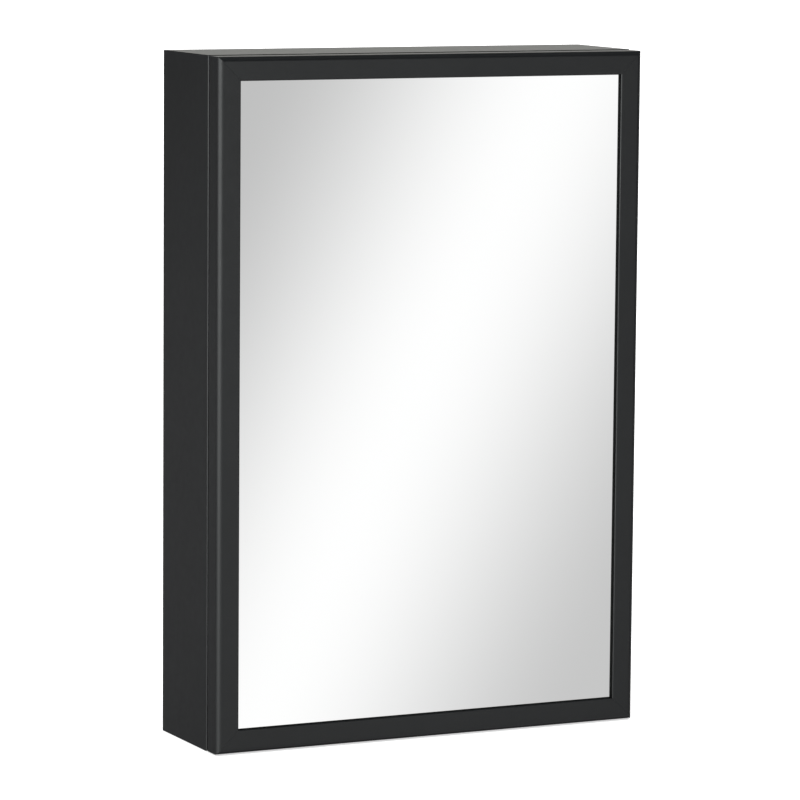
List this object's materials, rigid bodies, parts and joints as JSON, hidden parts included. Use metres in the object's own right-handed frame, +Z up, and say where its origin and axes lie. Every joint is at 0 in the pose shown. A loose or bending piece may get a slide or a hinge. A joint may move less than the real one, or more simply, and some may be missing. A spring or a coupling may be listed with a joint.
{
  "type": "medicine cabinet with mirror",
  "caption": "Wall cabinet with one mirrored door in a mitred black metal frame, concealed hinges, a magnetic catch and adjustable glass shelves.",
  "frame": {"origin": "centre of the base, where the middle of the cabinet's bounding box meets the surface it stands on", "axes": "+Z up, the mirror faces -Y, the wall side is +Y, width runs along X"},
  "size_m": [0.406, 0.122, 0.6],
  "materials": {
    "coated_profile": "satin black powder coat",
    "coated_sheet": "satin black powder coat",
    "mirror_glass": "polished",
    "clear_glass": "polished, ground edges",
    "zinc_steel": "zinc plated",
    "black_plastic": "fine moulded",
    "rubber": "matte",
    "core_board": "raw fibreboard"
  },
  "bodies": {
    "cabinet": {"cabinet_back_sheet": "coated_sheet", "cabinet_bottom_side": "coated_profile", "cabinet_key_lower_left": "zinc_steel", "cabinet_key_lower_right": "zinc_steel", "cabinet_key_upper_left": "zinc_steel", "cabinet_key_upper_right": "zinc_steel", "cabinet_left_side": "coated_profile", "cabinet_right_side": "coated_profile", "cabinet_top_side": "coated_profile", "catch_case": "black_plastic", "catch_magnet": "zinc_steel", "catch_screw_lower": "zinc_steel", "catch_screw_upper": "zinc_steel", "lower_arm_screw_front": "zinc_steel", "lower_arm_screw_rear": "zinc_steel", "lower_glass_shelf": "clear_glass", "lower_hinge_arm": "zinc_steel", "lower_shelf_pin_left_front": "zinc_steel", "lower_shelf_pin_left_rear": "zinc_steel", "lower_shelf_pin_right_front": "zinc_steel", "lower_shelf_pin_right_rear": "zinc_steel", "upper_arm_screw_front": "zinc_steel", "upper_arm_screw_rear": "zinc_steel", "upper_glass_shelf": "clear_glass", "upper_hinge_arm": "zinc_steel", "upper_shelf_pin_left_front": "zinc_steel", "upper_shelf_pin_left_rear": "zinc_steel", "upper_shelf_pin_right_front": "zinc_steel", "upper_shelf_pin_right_rear": "zinc_steel"},
    "door": {"backing_board": "core_board", "catch_plate": "zinc_steel", "catch_plate_screw": "zinc_steel", "door_bottom_rail": "coated_profile", "door_key_lower_left": "zinc_steel", "door_key_lower_right": "zinc_steel", "door_key_upper_left": "zinc_steel", "door_key_upper_right": "zinc_steel", "door_left_rail": "coated_profile", "door_rear_sheet": "coated_sheet", "door_right_rail": "coated_profile", "door_top_rail": "coated_profile", "lower_block_screw_high": "zinc_steel", "lower_block_screw_low": "zinc_steel", "lower_bumper": "rubber", "lower_hinge_block": "zinc_steel", "lower_hinge_pin": "zinc_steel", "mirror": "mirror_glass", "sheet_screw_bottom_left": "zinc_steel", "sheet_screw_bottom_right": "zinc_steel", "sheet_screw_left_high": "zinc_steel", "sheet_screw_left_low": "zinc_steel", "sheet_screw_right_high": "zinc_steel", "sheet_screw_right_low": "zinc_steel", "sheet_screw_top_left": "zinc_steel", "sheet_screw_top_right": "zinc_steel", "upper_block_screw_high": "zinc_steel", "upper_block_screw_low": "zinc_steel", "upper_bumper": "rubber", "upper_hinge_block": "zinc_steel", "upper_hinge_pin": "zinc_steel"}
  },
  "joints": [
    {"name": "door_swing", "type": "hinge", "parent": "cabinet", "child": "door", "pos_m": [-0.1982, -0.0505, 0.3], "axis": [0, 0, -1], "range_deg": [0, 100]}
  ]
}
